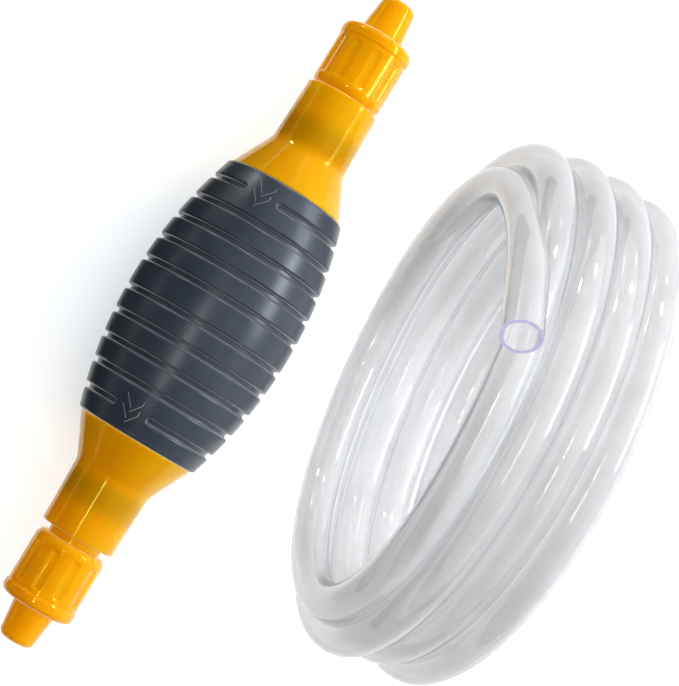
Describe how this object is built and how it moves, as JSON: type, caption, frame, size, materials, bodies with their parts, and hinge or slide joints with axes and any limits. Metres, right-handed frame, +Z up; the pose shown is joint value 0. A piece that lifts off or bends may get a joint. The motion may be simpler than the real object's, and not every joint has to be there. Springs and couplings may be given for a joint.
{
  "type": "hand siphon pump with hose",
  "caption": "Hand squeeze-bulb siphon pump with a ribbed rubber bulb, amber screw ends and a loose coil of clear hose.",
  "frame": {"origin": "under the middle of the pump's length, on the surface that it lies on", "axes": "+X along the pump's axis towards its inlet, +Z up, the hose coil stands at -Y"},
  "size_m": [0.2198, 0.1289, 0.1583],
  "materials": {
    "bulb_rubber": "satin slate grey",
    "amber": "glossy translucent amber",
    "valve_plastic": "plain white",
    "valve_rubber": "soft black",
    "clear_hose": "clear glossy"
  },
  "bodies": {
    "pump": {"squeeze_bulb": "bulb_rubber", "inlet_housing": "amber", "inlet_valve_seat": "valve_plastic", "inlet_seat_seal": "valve_rubber", "inlet_valve_cage": "valve_plastic", "inlet_gasket": "valve_rubber", "outlet_housing": "amber", "outlet_valve_seat": "valve_plastic", "outlet_seat_seal": "valve_rubber", "outlet_valve_cage": "valve_plastic", "outlet_gasket": "valve_rubber"},
    "inlet_washer_body": {"inlet_slip_washer": "valve_plastic"},
    "inlet_nut_body": {"inlet_nut": "amber"},
    "inlet_nozzle_body": {"inlet_nozzle": "amber"},
    "inlet_disc_body": {"inlet_valve_disc": "valve_rubber"},
    "outlet_washer_body": {"outlet_slip_washer": "valve_plastic"},
    "outlet_nut_body": {"outlet_nut": "amber"},
    "outlet_nozzle_body": {"outlet_nozzle": "amber"},
    "outlet_disc_body": {"outlet_valve_disc": "valve_rubber"},
    "hose": {"hose_coil": "clear_hose", "hose_end": "clear_hose"}
  },
  "joints": [
    {"name": "inlet_nut_travel", "type": "slide", "parent": "pump", "child": "inlet_washer_body", "axis": [1, 0, 0], "range_m": [0, 0.009]},
    {"name": "inlet_nut_turn", "type": "hinge", "parent": "inlet_washer_body", "child": "inlet_nut_body", "pos_m": [0.087, 0, 0.0261], "axis": [1, 0, 0], "range_deg": [0, 1080]},
    {"name": "inlet_nozzle_float", "type": "slide", "parent": "pump", "child": "inlet_nozzle_body", "axis": [1, 0, 0], "range_m": [0, 0.0045]},
    {"name": "inlet_valve_lift", "type": "slide", "parent": "pump", "child": "inlet_disc_body", "axis": [-1, 0, 0], "range_m": [0, 0.0025]},
    {"name": "outlet_nut_travel", "type": "slide", "parent": "pump", "child": "outlet_washer_body", "axis": [-1, 0, 0], "range_m": [-0.002, 0.007]},
    {"name": "outlet_nut_turn", "type": "hinge", "parent": "outlet_washer_body", "child": "outlet_nut_body", "pos_m": [-0.086, 0, 0.0261], "axis": [-1, 0, 0], "range_deg": [-240, 840]},
    {"name": "outlet_nozzle_float", "type": "slide", "parent": "pump", "child": "outlet_nozzle_body", "axis": [-1, 0, 0], "range_m": [-0.001, 0.0035]},
    {"name": "outlet_valve_lift", "type": "slide", "parent": "pump", "child": "outlet_disc_body", "axis": [-1, 0, 0], "range_m": [0, 0.0025]},
    {"name": "hose_move", "type": "slide", "parent": "pump", "child": "hose", "axis": [0, 0, 1], "range_m": [0, 0.12]}
  ],
  "couplings": [
    {"joint": "inlet_nut_turn", "follows": "inlet_nut_travel", "rad_per_m": 2094.4},
    {"joint": "inlet_nozzle_float", "follows": "inlet_nut_travel", "ratio": 0.5},
    {"joint": "outlet_nut_turn", "follows": "outlet_nut_travel", "rad_per_m": 2094.4},
    {"joint": "outlet_nozzle_float", "follows": "outlet_nut_travel", "ratio": 0.5}
  ]
}
